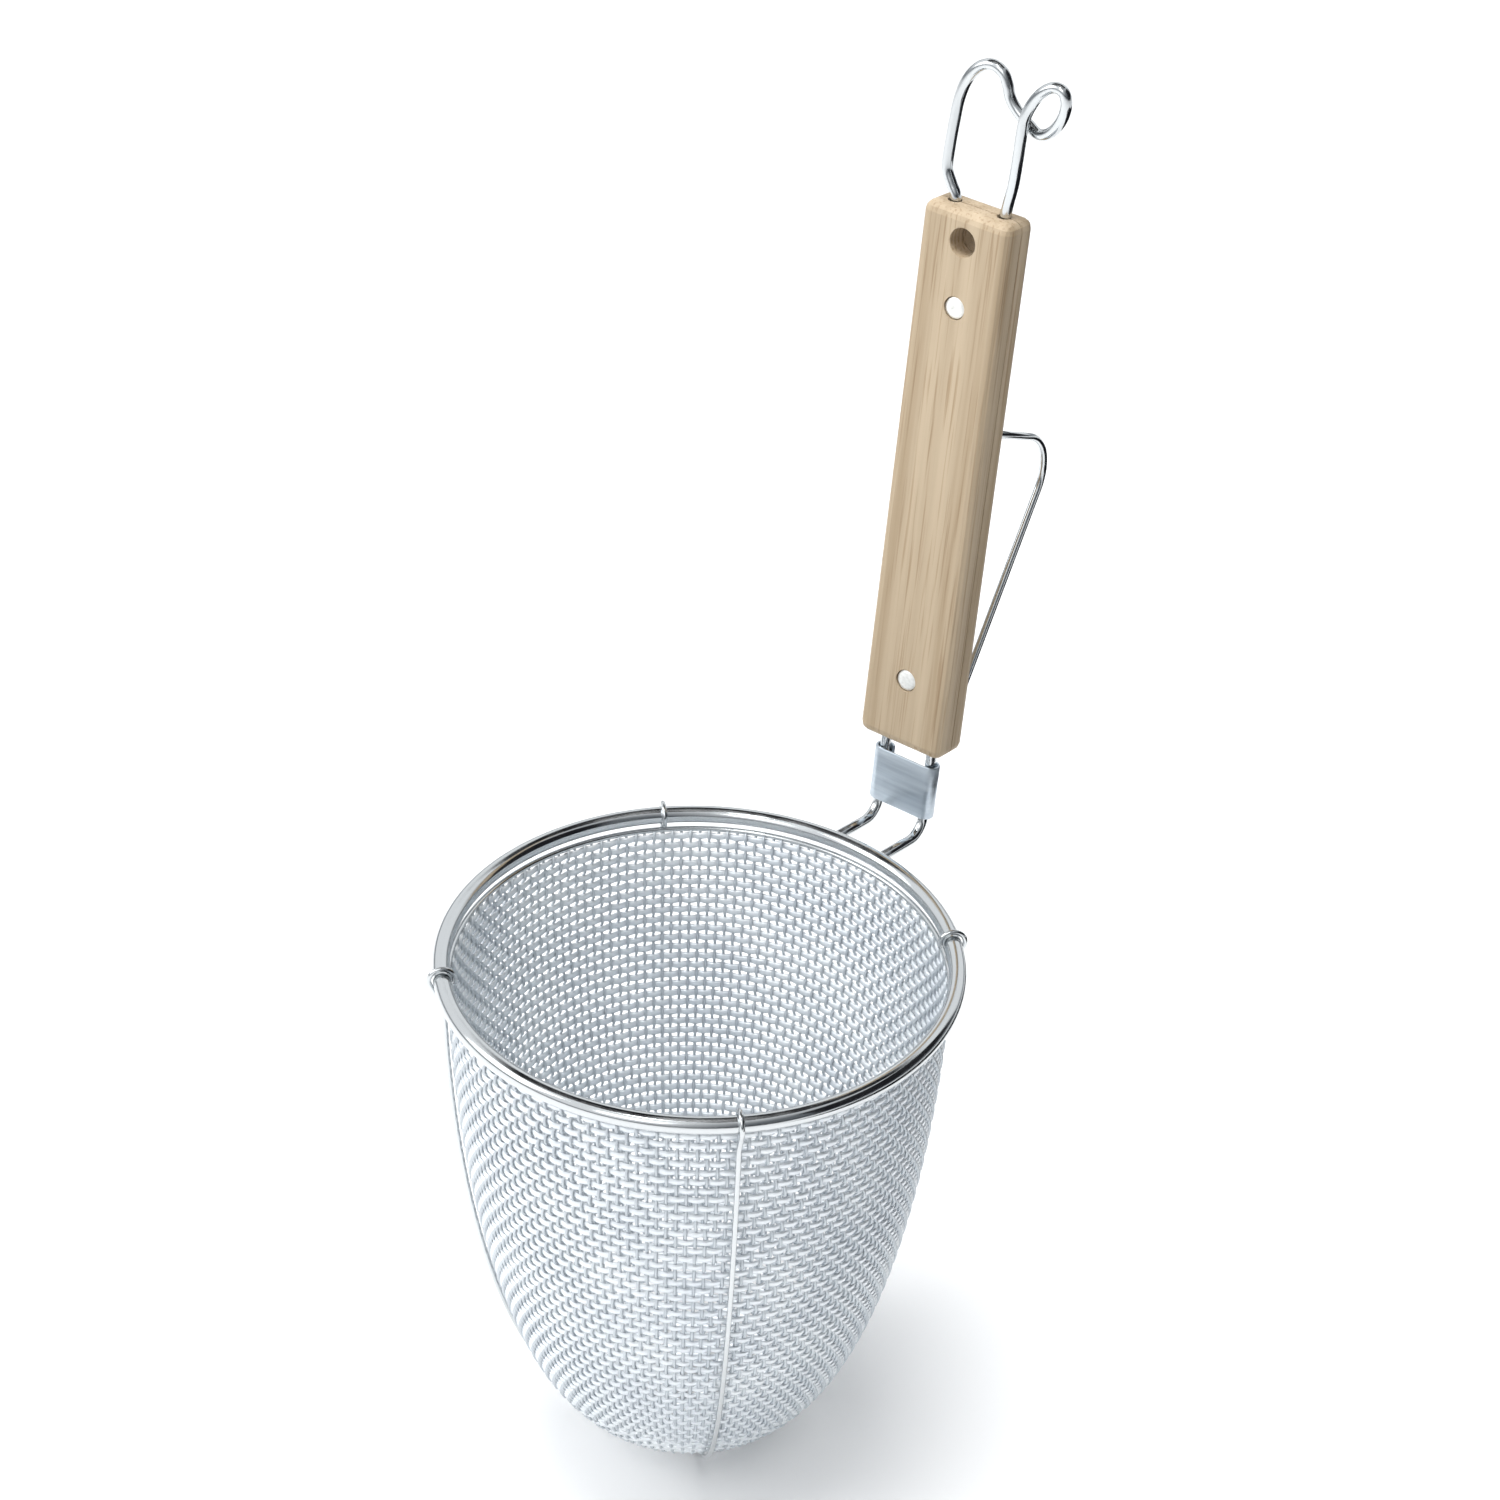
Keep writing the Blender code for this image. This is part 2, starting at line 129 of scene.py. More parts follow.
# ---- camera ----
LENS = 92.3                     # on a 36 mm sensor
EYE = Vector((0.4913, -0.6726, 0.7634))
TARGET = Vector((-0.0068, -0.0045, 0.2077))
ROLL = math.radians(2.04)

# ---- stage ----
FLOOR_REACH = 6.0
LIT_MIDDLE = (0.0, 0.0, 0.18)   # the point that the front lights face
NOISE_SPAN = (0.3, 0.7)         # values that a noise pattern mostly keeps to


# ---- materials ----
def new_material(name, colour, roughness, metallic):
    """A Principled material, its node tree and its shader."""
    made = bpy.data.materials.new(name)
    made.use_nodes = True
    tree = made.node_tree
    shader = tree.nodes["Principled BSDF"]
    shader.inputs["Base Color"].default_value = (*colour, 1.0)
    shader.inputs["Roughness"].default_value = roughness
    shader.inputs["Metallic"].default_value = metallic
    return made, tree, shader


def stretched_noise(tree, scale, stretch, detail=3.0, tilt=0.0):
    """Noise on Object coordinates, squeezed by stretch on each axis after a tilt about X."""
    place = tree.nodes.new("ShaderNodeTexCoord")
    turn = tree.nodes.new("ShaderNodeMapping")
    turn.inputs["Rotation"].default_value = (tilt, 0.0, 0.0)
    squeeze = tree.nodes.new("ShaderNodeMapping")
    squeeze.inputs["Scale"].default_value = stretch
    noise = tree.nodes.new("ShaderNodeTexNoise")
    noise.inputs["Scale"].default_value = scale
    noise.inputs["Detail"].default_value = detail
    tree.links.new(place.outputs["Object"], turn.inputs["Vector"])
    tree.links.new(turn.outputs["Vector"], squeeze.inputs["Vector"])
    tree.links.new(squeeze.outputs["Vector"], noise.inputs["Vector"])
    return noise.outputs["Fac"]


def ramp(tree, factor, stops):
    """A colour ramp through (position, colour) stops."""
    node = tree.nodes.new("ShaderNodeValToRGB")
    band = node.color_ramp
    while len(band.elements) < len(stops):
        band.elements.new(1.0)
    for element, (position, colour) in zip(band.elements, stops):
        element.position = position
        element.color = (*colour, 1.0)
    tree.links.new(factor, node.inputs["Fac"])
    return node.outputs["Color"]


def bump(tree, shader, height, strength, distance):
    """Raise the surface by a height pattern."""
    node = tree.nodes.new("ShaderNodeBump")
    node.inputs["Strength"].default_value = strength
    node.inputs["Distance"].default_value = distance
    tree.links.new(height, node.inputs["Height"])
    tree.links.new(node.outputs["Normal"], shader.inputs["Normal"])


def grey_range(tree, factor, low, high):
    """Map a 0 to 1 pattern to the range low to high."""
    node = tree.nodes.new("ShaderNodeMapRange")
    node.inputs["From Min"].default_value = NOISE_SPAN[0]
    node.inputs["From Max"].default_value = NOISE_SPAN[1]
    node.inputs["To Min"].default_value = low
    node.inputs["To Max"].default_value = high
    tree.links.new(factor, node.inputs["Value"])
    return node.outputs["Result"]


def mixed(tree, first, second, blend, share):
    """Two colours mixed by a share, in a blend such as MULTIPLY."""
    node = tree.nodes.new("ShaderNodeMix")
    node.data_type = "RGBA"
    node.blend_type = blend
    node.inputs["Factor"].default_value = share
    tree.links.new(first, node.inputs["A"])
    tree.links.new(second, node.inputs["B"])
    return node.outputs["Result"]


def polished_steel():
    """Bright drawn wire: mirror-like, with faint draw marks and handling haze."""
    made, tree, shader = new_material("polished_wire", (0.62, 0.64, 0.65), 0.12, 1.0)
    haze = stretched_noise(tree, 90.0, (1.0, 1.0, 1.0))
    tree.links.new(grey_range(tree, haze, 0.07, 0.20), shader.inputs["Roughness"])
    marks = stretched_noise(tree, 900.0, (1.0, 1.0, 0.25), detail=2.0)
    bump(tree, shader, marks, 0.05, 0.0001)
    return made


def mesh_steel(name, low, high):
    """Woven wire: bright but softer, with small changes of tone between low and high."""
    made, tree, shader = new_material(name, high, 0.36, 0.45)
    patches = stretched_noise(tree, 45.0, (1.0, 1.0, 1.0))
    colours = ((0.30, low), (0.70, high))
    tree.links.new(ramp(tree, patches, colours), shader.inputs["Base Color"])
    tree.links.new(grey_range(tree, patches, 0.30, 0.44), shader.inputs["Roughness"])
    return made


def satin_steel():
    """Pressed sheet with a satin, lightly brushed surface."""
    made, tree, shader = new_material("satin_sheet", (0.50, 0.56, 0.61), 0.36, 1.0)
    brushed = stretched_noise(tree, 700.0, (0.06, 1.0, 1.0), detail=2.0, tilt=LEAN)
    colours = ((0.30, (0.43, 0.49, 0.55)), (0.70, (0.57, 0.63, 0.68)))
    tree.links.new(ramp(tree, brushed, colours), shader.inputs["Base Color"])
    tree.links.new(grey_range(tree, brushed, 0.30, 0.44), shader.inputs["Roughness"])
    bump(tree, shader, brushed, 0.12, 0.0002)
    return made


def rivet_metal():
    """Soft pale metal with a finely worn face."""
    made, tree, shader = new_material("rivet_face", (0.86, 0.86, 0.83), 0.42, 0.75)
    wear = stretched_noise(tree, 1400.0, (1.0, 1.0, 1.0))
    colours = ((0.30, (0.76, 0.76, 0.73)), (0.70, (0.92, 0.92, 0.89)))
    tree.links.new(ramp(tree, wear, colours), shader.inputs["Base Color"])
    bump(tree, shader, wear, 0.10, 0.0001)
    return made


def pale_wood():
    """Bare pale wood: broad soft bands, fine dark flecks and grain, all along the handle."""
    made, tree, shader = new_material("pale_wood", (0.54, 0.43, 0.30), 0.62, 0.0)
    bands = stretched_noise(tree, 260.0, (1.0, 1.0, 0.02), detail=4.0, tilt=LEAN)
    flecks = stretched_noise(tree, 1300.0, (1.0, 1.0, 0.02), detail=2.0, tilt=LEAN)
    wide = ramp(tree, bands, ((0.30, (0.34, 0.25, 0.15)), (0.50, (0.43, 0.335, 0.225)),
                              (0.70, (0.49, 0.39, 0.27))))
    fine = ramp(tree, flecks, ((0.30, (0.62, 0.52, 0.40)), (0.46, (1.0, 1.0, 1.0))))
    tree.links.new(mixed(tree, wide, fine, "MULTIPLY", 0.75), shader.inputs["Base Color"])
    tree.links.new(grey_range(tree, bands, 0.52, 0.72), shader.inputs["Roughness"])
    bump(tree, shader, flecks, 0.25, 0.0003)
    return made


# ---- putting a surface into the scene ----
def add_piece(name, points, faces, paint, body, nodes=()):
    """A smooth-shaded mesh that rides on a body and stands for CAD nodes."""
    data = bpy.data.meshes.new(name)
    data.from_pydata(points.reshape(-1, 3).tolist(), [], faces)
    data.update()
    data.shade_smooth()
    data.materials.append(paint)
    piece = bpy.data.objects.new(name, data)
    bpy.context.scene.collection.objects.link(piece)
    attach(piece, body)
    if nodes:
        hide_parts(*nodes)
    return piece


def grid_faces(rows, columns, wrap_rows):
    """Quads of a rows x columns grid whose columns close on themselves, as its rows do if wrap_rows.

    They face along (column direction) x (row direction).
    """
    i = np.arange(rows if wrap_rows else rows - 1)
    j = np.arange(columns)
    i, j = np.meshgrid(i, j, indexing="ij")
    below = (i + 1) % rows
    right = (j + 1) % columns
    quads = np.stack((i * columns + j, i * columns + right,
                      below * columns + right, below * columns + j), axis=-1)
    return quads.reshape(-1, 4)


def sweep(path, reference, half, sides, closed):
    """Tubes: point = path + h cos a N + w sin a B, for a whole stack of paths at once.

    path and reference are (tubes, points, 3), and half is (h, w).  T is the path's direction, N is
    the reference made square to T, and B = T x N.  Returns the points and the faces of every tube.
    """
    if closed:
        ahead = np.roll(path, -1, axis=1) - np.roll(path, 1, axis=1)
    else:
        ahead = np.gradient(path, axis=1)
    direction = ahead / np.linalg.norm(ahead, axis=-1, keepdims=True)
    normal = reference - direction * np.sum(reference * direction, axis=-1, keepdims=True)
    normal = normal / np.linalg.norm(normal, axis=-1, keepdims=True)
    side = np.cross(direction, normal)
    turns = 2 * np.pi * (np.arange(sides) + 0.5) / sides
    ring = (normal[:, :, None] * half[0] * np.cos(turns)[None, None, :, None]
            + side[:, :, None] * half[1] * np.sin(turns)[None, None, :, None])
    points = path[:, :, None] + ring
    tubes, length = path.shape[:2]
    one = grid_faces(length, sides, closed)
    starts = np.arange(tubes) * length * sides
    faces = (one[None] + starts[:, None, None]).reshape(-1, 4).tolist()
    if not closed:
        front = starts[:, None] + np.arange(sides)[None, ::-1]
        back = starts[:, None] + (length - 1) * sides + np.arange(sides)[None]
        faces += front.tolist() + back.tolist()
    return points.reshape(-1, 3), faces


def stacked(parts):
    """Join several (points, faces) into one."""
    points, faces, first = [], [], 0
    for some, theirs in parts:
        points.append(some)
        faces += [[corner + first for corner in face] for face in theirs]
        first += len(some)
    return np.concatenate(points), faces


# ---- the cup's outline ----
def cup_table():
    """Arc length, radius, depth and outward normal along the cup's side, from rim to lowest point.

    The outline is (radius / R)^p + (depth / D)^q = 1, followed by a parameter angle, and the normal
    is the gradient of the left side.
    """
    angle = np.linspace(0.0, np.pi / 2, OUTLINE_STEPS)
    radius = CUP_RADIUS * np.clip(np.cos(angle), 0.0, 1.0) ** (2 / SIDE_POWER)
    depth = CUP_DEPTH * np.sin(angle) ** (2 / DEPTH_POWER)
    radius[-1] = 0.0
    out = (radius / CUP_RADIUS) ** (SIDE_POWER - 1) * SIDE_POWER / CUP_RADIUS
    down = (depth / CUP_DEPTH) ** (DEPTH_POWER - 1) * DEPTH_POWER / CUP_DEPTH
    size = np.hypot(out, down)
    step = np.hypot(np.diff(radius), np.diff(depth))
    length = np.concatenate(([0.0], np.cumsum(step)))
    return length, radius, depth, out / size, down / size


CUP = cup_table()


def on_cup(length, angle, outset):
    """Points at an arc length down the side and an angle round the axis, moved out along the normal."""
    radius, depth, out, down = (np.interp(length, CUP[0], column) for column in CUP[1:])
    reach = radius + outset * out
    drop = depth + outset * down
    return np.stack((reach * np.cos(angle), AXIS_Y + reach * np.sin(angle), RIM_Z - drop), axis=-1)


def cup_normal(length, angle):
    """The cup's outward normal at the same places."""
    out = np.interp(length, CUP[0], CUP[3])
    down = np.interp(length, CUP[0], CUP[4])
    return np.stack((out * np.cos(angle), out * np.sin(angle), -down), axis=-1)


# ---- the weave ----
def weave_rows():
    """Arc lengths of the hoops, and how many upright wires each one crosses."""
    end = np.interp(-MESH_END_RADIUS, -CUP[1], CUP[0])
    rows = np.arange(MESH_START, end, HOOP_PITCH)
    radius = np.interp(rows, CUP[0], CUP[1])
    halvings = sum((radius < limit).astype(int) for limit in ZONE_RADII)
    return rows, WIRE_COUNT // 2 ** halvings


def make_hoops(paint):
    """Hoops of the weave: flat-topped waves, outside one upright wire and inside the next.

    Hoop k is at + HOOP_SWING where it crosses wire j with j + k even, and at - HOOP_SWING otherwise.
    Two points stand a quarter of the spacing to each side of every wire.
    """
    rows, counts = weave_rows()
    parts = []
    for count in sorted(set(counts.tolist())):
        picked = np.flatnonzero(counts == count)
        wire = np.repeat(np.arange(count), 2)
        quarter = np.tile(QUARTER, count)
        angle = np.broadcast_to(2 * np.pi * (wire + quarter) / count, (len(picked), 2 * count))
        swing = HOOP_SWING * (1 - 2 * ((wire[None] + picked[:, None]) % 2))
        length = np.broadcast_to(rows[picked][:, None], angle.shape)
        path = on_cup(length, angle, swing - MESH_INSET)
        parts.append(sweep(path, cup_normal(length, angle), HOOP_HALF, WEAVE_SIDES, True))
    points, faces = stacked(parts)
    add_piece("mesh_hoops", points, faces, paint, "strainer", ("mesh_basket",))


def make_uprights(paint):
    """Upright wires of the weave, on the other side of every hoop that they cross.

    Wires end in groups: each zone further down keeps every second wire, so the spacing stays even.
    """
    rows, counts = weave_rows()
    parts = []
    counts_in_use = sorted(set(counts.tolist()))
    for level, count in enumerate(counts_in_use[::-1]):
        last = int(np.flatnonzero(counts == count)[-1])
        keep = 2 ** level
        numbers = np.arange(0, WIRE_COUNT, keep)
        if count != counts_in_use[0]:
            numbers = numbers[1::2]
        row = np.arange(last + 1)
        share = WIRE_COUNT // counts[row]
        over = (numbers[:, None] // share[None] + row[None]) % 2
        swing = np.repeat(UPRIGHT_SWING * (2 * over - 1), 2, axis=1)
        length = np.repeat(rows[row], 2) + np.tile(QUARTER, last + 1) * HOOP_PITCH
        length[0] = HEM_DROP
        length = np.broadcast_to(length, swing.shape)
        angle = np.broadcast_to(2 * np.pi * numbers[:, None] / WIRE_COUNT, swing.shape)
        path = on_cup(length, angle, swing - MESH_INSET)
        parts.append(sweep(path, cup_normal(length, angle), UPRIGHT_HALF, WEAVE_SIDES, False))
    points, faces = stacked(parts)
    add_piece("mesh_uprights", points, faces, paint, "strainer")


# ---- hoops round the top ----
def make_ring(name, radius, section, height, paint, nodes, sides=32):
    """A hoop: a circle of the given radius round the axis, with a round section."""
    angle = np.linspace(0.0, 2 * np.pi, RING_STEPS + 1)[:-1][None]
    path = np.stack((radius * np.cos(angle), AXIS_Y + radius * np.sin(angle),
                     np.full(angle.shape, height)), axis=-1)
    points, faces = sweep(path, np.broadcast_to((0.0, 0.0, 1.0), path.shape), (section, section), sides, True)
    add_piece(name, points, faces, paint, "strainer", nodes)


def make_cross_wire(name, node, heading, dip, paint):
    """A support wire: hooked over the rim, down the mesh, under it and up again.

    The hook is an arc round the rim wire's section, and the rest follows the cup's outline moved
    out by the wire's own radius and a gap, with a dip exp(-(r / w)^2) where it passes under the other.
    """
    clear = CROSS_WIRE + CROSS_GAP
    sweep_angle = np.radians(np.linspace(*HOOK_SWEEP, HOOK_STEPS))
    around = RIM_WIRE + clear
    hook_out = RIM_RADIUS + around * np.cos(sweep_angle)
    hook_up = around * np.sin(sweep_angle)
    length = np.linspace(CROSS_START, CUP[0][-1], CROSS_STEPS)
    radius, depth, out, down = (np.interp(length, CUP[0], column) for column in CUP[1:])
    side_out = radius + clear * out
    side_down = depth + clear * down + dip * np.exp(-(radius / CROSS_DIP_WIDTH) ** 2)
    side_out[-1] = 0.0
    across = np.concatenate((hook_out, side_out))
    height = np.concatenate((hook_up, -side_down))
    across = np.concatenate((across, -across[-2::-1]))
    height = np.concatenate((height, height[-2::-1]))
    turn = heading + CROSS_TURN
    path = np.stack((across * math.cos(turn), AXIS_Y + across * math.sin(turn), RIM_Z + height), axis=-1)
    flat = np.broadcast_to((-math.sin(turn), math.cos(turn), 0.0), path.shape)
    points, faces = sweep(path[None], flat[None], (CROSS_WIRE, CROSS_WIRE), 12, False)
    add_piece(name, points, faces, paint, "strainer", (node,))


# ---- the handle's wire ----
def in_handle(across, behind, along):
    """World points from the handle's own axes."""
    return (FOOT + np.multiply.outer(across, ACROSS) + np.multiply.outer(behind, BEHIND)
            + np.multiply.outer(along, ALONG))


def rounded(points, radii, steps=14):
    """Straight runs between points, with an arc of its own radius at each corner.

    About its centre, an arc is (sin((1 - s) a) start + sin(s a) end) / sin a, for s from 0 to 1.
    """
    points = np.asarray(points, float)
    path = [points[:1]]
    for before, corner, after, radius in zip(points, points[1:], points[2:], radii):
        back = (before - corner) / np.linalg.norm(before - corner)
        ahead = (after - corner) / np.linalg.norm(after - corner)
        half = math.acos(float(back @ ahead)) / 2
        middle = (back + ahead) / np.linalg.norm(back + ahead)
        centre = corner + middle * radius / math.sin(half)
        start = corner + back * radius / math.tan(half) - centre
        end = corner + ahead * radius / math.tan(half) - centre
        swept = math.pi - 2 * half
        share = np.linspace(0.0, 1.0, steps + 1)[:, None]
        arc = (np.sin((1 - share) * swept) * start + np.sin(share * swept) * end) / math.sin(swept)
        path.append(centre + arc)
    path.append(points[-1:])
    return np.concatenate(path)


def through(knots, steps):
    """A smooth curve through every knot (Catmull-Rom), all spans at once."""
    knots = np.asarray(knots, float)
    ends = np.concatenate((2 * knots[:1] - knots[1:2], knots, 2 * knots[-1:] - knots[-2:-1]))
    a, b, c, d = ends[:-3, None], ends[1:-2, None], ends[2:-1, None], ends[3:, None]
    t = np.linspace(0.0, 1.0, steps + 1)[None, :-1, None]
    curve = 0.5 * (2 * b + (c - a) * t + (2 * a - 5 * b + 4 * c - d) * t ** 2
                   + (3 * b - a - 3 * c + d) * t ** 3)
    return np.concatenate((curve.reshape(-1, 3), knots[-1:]))


def from_level(out, up, side):
    """A point given outwards and upwards from the handle's foot, in the handle's axes."""
    behind = out * math.cos(LEAN) - up * math.sin(LEAN)
    along = out * math.sin(LEAN) + up * math.cos(LEAN)
    return (side, behind, along)


def leg(side):
    """A leg: out of the rim wire's flank, round a bend and up into the wood."""
    rim_edge = math.sqrt(RIM_RADIUS ** 2 - LEG_OFFSET ** 2) + RIM_WIRE - LEG_SINK
    end = from_level(rim_edge - RIM_RADIUS - NECK_OUT, -LEG_DROP, side)
    corner = from_level(*LEG_CORNER, side)
    return rounded([end, corner, (side, 0.0, HANDLE_START)], [LEG_BEND])


def make_handle_wire(paint):
    """One wire: rim, left leg, arch and curl of the hanging hook, right leg, rim."""
    # across, behind, along, in millimetres, where along starts at the wood's end
    knots = np.array([(-7.6, 0.0, -4.0), (-7.7, 0.0, 1.0), (-9.4, 0.0, 3.9), (-11.2, 0.0, 7.6),
                      (-11.2, 0.0, 14.0), (-10.8, 0.0, 20.5), (-10.2, 0.0, 26.5),
                      (-8.6, 0.1, 32.0), (-5.6, 0.3, 36.0), (-2.1, 0.5, 37.5), (1.1, 0.7, 36.4),
                      (2.8, 1.0, 33.6), (4.0, 1.3, 30.2), (6.4, 1.6, 27.4), (9.9, 1.75, 25.0),
                      (13.8, 1.2, 23.5), (17.5, 0.6, 25.3), (20.3, 0.0, 29.2), (21.5, -0.5, 33.6),
                      (20.5, -1.0, 37.0), (17.6, -1.3, 37.4), (14.4, -1.5, 35.0),
                      (12.1, -1.65, 31.3), (10.8, -1.75, 27.2), (10.4, -1.6, 22.4),
                      (10.0, -1.1, 16.0), (9.3, -0.4, 9.3), (8.2, 0.0, 3.0), (7.6, 0.0, -4.0)])
    knots = knots * MM + (0.0, 0.0, HANDLE_END)
    local = np.concatenate((leg(-LEG_OFFSET), through(knots, 10), leg(LEG_OFFSET)[::-1]))
    share = np.clip((local[:, 2] - HANDLE_START) / (HANDLE_END - HANDLE_START), 0.0, 1.0)[:, None]
    reference = (1 - share) * ACROSS + share * BEHIND
    path = in_handle(*local.T)
    points, faces = sweep(path[None], reference[None], (FRAME_WIRE, FRAME_WIRE), 16, False)
    add_piece("handle_frame_wire", points, faces, paint, "strainer", ("handle_wire",))


def make_welds(paint):
    """Small weld beads where the legs meet the rim: flattened globes."""
    around = np.linspace(0.0, 2 * np.pi, WELD_COLUMNS + 1)[:-1]
    up = np.linspace(-np.pi / 2, np.pi / 2, WELD_ROWS + 2)[1:-1]
    up, around = np.meshgrid(up, around, indexing="ij")
    globe = np.stack((np.cos(up) * np.cos(around), np.cos(up) * np.sin(around), np.sin(up)), axis=-1)
    globe = globe.reshape(-1, 3) * WELD_HALF
    ends = np.array(((0.0, 0.0, -1.0), (0.0, 0.0, 1.0))) * WELD_HALF
    faces = grid_faces(WELD_ROWS, WELD_COLUMNS, False).tolist()
    low, top = WELD_ROWS * WELD_COLUMNS, WELD_ROWS * WELD_COLUMNS + 1
    last = (WELD_ROWS - 1) * WELD_COLUMNS
    faces += [[low, (column + 1) % WELD_COLUMNS, column] for column in range(WELD_COLUMNS)]
    faces += [[top, last + column, last + (column + 1) % WELD_COLUMNS] for column in range(WELD_COLUMNS)]
    parts = []
    for side in (-1, 1):
        reach = math.sqrt(RIM_RADIUS ** 2 - LEG_OFFSET ** 2) + RIM_WIRE
        middle = (side * LEG_OFFSET, AXIS_Y + reach, RIM_Z - LEG_DROP)
        parts.append((np.concatenate((globe, ends)) + middle, faces))
    points, faces = stacked(parts)
    add_piece("weld_beads", points, faces, paint, "strainer")


# ---- the neck plate ----
def make_neck_plate(paint):
    """Sheet plate: a flat front between two curls of two thirds of a circle, carried along the neck."""
    turns = np.radians(np.linspace(-90, 150, 33))
    curl = np.stack((LEG_OFFSET + PLATE_CURL * np.cos(turns), PLATE_CURL * np.sin(turns)), axis=-1)
    line = np.concatenate((curl[::-1], curl * (-1, 1)))
    run = np.gradient(line, axis=0)
    run = run / np.linalg.norm(run, axis=1, keepdims=True)
    normal = np.stack((-run[:, 1], run[:, 0]), axis=-1)
    loop = np.concatenate((line + HALF_SHEET * normal, (line - HALF_SHEET * normal)[::-1]))
    inset = np.array((PLATE_EDGE, 0.0, 0.0, PLATE_EDGE))
    along = np.array((0.0, PLATE_EDGE, PLATE_LENGTH - PLATE_EDGE, PLATE_LENGTH)) + PLATE_START
    middle = np.concatenate((line, line[::-1]))
    side = loop - middle
    shrink = 1 - inset[:, None, None] / HALF_SHEET * PLATE_BEVEL
    ring = middle[None] + side[None] * shrink
    height = np.broadcast_to(along[:, None], ring.shape[:2])
    points = in_handle(ring[..., 0], ring[..., 1], height)
    rows, columns = ring.shape[:2]
    faces = grid_faces(rows, columns, False).tolist()
    half = columns // 2
    first = np.arange(half - 1)
    low = np.stack((first, first + 1, columns - 2 - first, columns - 1 - first), axis=-1)
    faces += low[:, ::-1].tolist()
    faces += (low + (rows - 1) * columns).tolist()
    piece = add_piece("neck_plate_sheet", points, faces, paint, "strainer", ("neck_plate",))
    face_out(piece)


def face_out(piece):
    """Turn the mesh's faces outwards and keep its edges crisp."""
    shape = bmesh.new()
    shape.from_mesh(piece.data)
    bmesh.ops.recalc_face_normals(shape, faces=shape.faces)
    shape.to_mesh(piece.data)
    shape.free()
    piece.data.set_sharp_from_angle(angle=math.radians(45))


# ---- the rest clip ----
def make_rest_clip(paint):
    """Sprung wire clip: two arms from the handle's back, round a bend, down to a crossbar at the foot."""
    touch = HANDLE_BACK + CLIP_WIRE + CROSS_GAP
    root = HANDLE_BACK + CROSS_GAP
    one_side = [(root, CLIP_ROOT_AT), (CLIP_REACH, CLIP_CORNER_AT), (touch, CLIP_FOOT_AT)]
    points = [(-CLIP_ARM, y, z) for y, z in one_side] + [(CLIP_ARM, y, z) for y, z in one_side[::-1]]
    local = rounded(points, CLIP_BENDS)
    path = in_handle(*local.T)
    foot_share = np.clip((local[:, 0] / CLIP_ARM + 1) / 2, 0.0, 1.0)[:, None]
    arm = -np.cos(np.pi * foot_share) * ACROSS
    bar = np.sin(np.pi * foot_share) * -ALONG
    points, faces = sweep(path[None], (arm + bar)[None], (CLIP_WIRE, CLIP_WIRE), 14, False)
    add_piece("rest_clip_wire", points, faces, paint, "clip", ("rest_clip",))


# ---- CAD nodes that keep their shape ----
def repaint(name, paint):
    """Give a CAD node a better material."""
    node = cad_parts[name]
    node.data.materials.clear()
    node.data.materials.append(paint)


# ---- stage ----
def add_light(name, place, target, size, power):
    """A large soft area light that faces a point."""
    data = bpy.data.lights.new(name, "AREA")
    data.shape = "RECTANGLE"
    data.size, data.size_y = size
    data.energy = power
    light = bpy.data.objects.new(name, data)
    light.location = place
    light.rotation_euler = (Vector(target) - Vector(place)).to_track_quat("-Z", "Y").to_euler()
    bpy.context.scene.collection.objects.link(light)


def add_card(name, place, turn, size, paint):
    """A flat card that the camera doesn't see."""
    wide, high = size[0] / 2, size[1] / 2
    data = bpy.data.meshes.new(name)
    data.from_pydata([(-wide, -high, 0), (-wide, high, 0), (wide, high, 0), (wide, -high, 0)],
                     [], [(0, 1, 2, 3)])
    data.materials.append(paint)
    card = bpy.data.objects.new(name, data)
    card.location = place
    card.rotation_euler = turn
    card.visible_camera = False
    bpy.context.scene.collection.objects.link(card)
    return card


def matt_paint(name, colour, roughness):
    """A paint with no gloss at all, for the floor and the cards."""
    made, _, shader = new_material(name, colour, roughness, 0.0)
    shader.inputs["Specular IOR Level"].default_value = 0.0
    return made


def make_floor_and_cards():
    """A plain pale floor, and dark cards for the bright wires to mirror."""
    reach = FLOOR_REACH
    data = bpy.data.meshes.new("floor")
    data.from_pydata([(-reach, -reach, 0), (reach, -reach, 0), (reach, reach, 0), (-reach, reach, 0)],
                     [], [(0, 1, 2, 3)])
    data.materials.append(matt_paint("floor_white", (0.93, 0.93, 0.93), 0.9))
    floor = bpy.data.objects.new("floor", data)
    bpy.context.scene.collection.objects.link(floor)

    dark = matt_paint("card_black", (0.01, 0.01, 0.012), 1.0)
    overhead = add_card("overhead_card", (-0.25, 0.33, 1.45), (0.0, 0.0, 0.0), (1.5, 1.5), dark)
    ground_turn = (0.0, 0.0, math.radians(37.0))
    ground = add_card("ground_card", (0.42, 0.40, 0.0005), ground_turn, (0.6, 1.1), dark)
    for card in (overhead, ground):
        card.visible_diffuse = False
        card.visible_shadow = False
    side_turn = (0.0, math.radians(90), math.radians(30))
    side = add_card("side_card", (0.75, 0.45, 0.80), side_turn, (1.0, 1.4), dark)
    side.visible_shadow = False


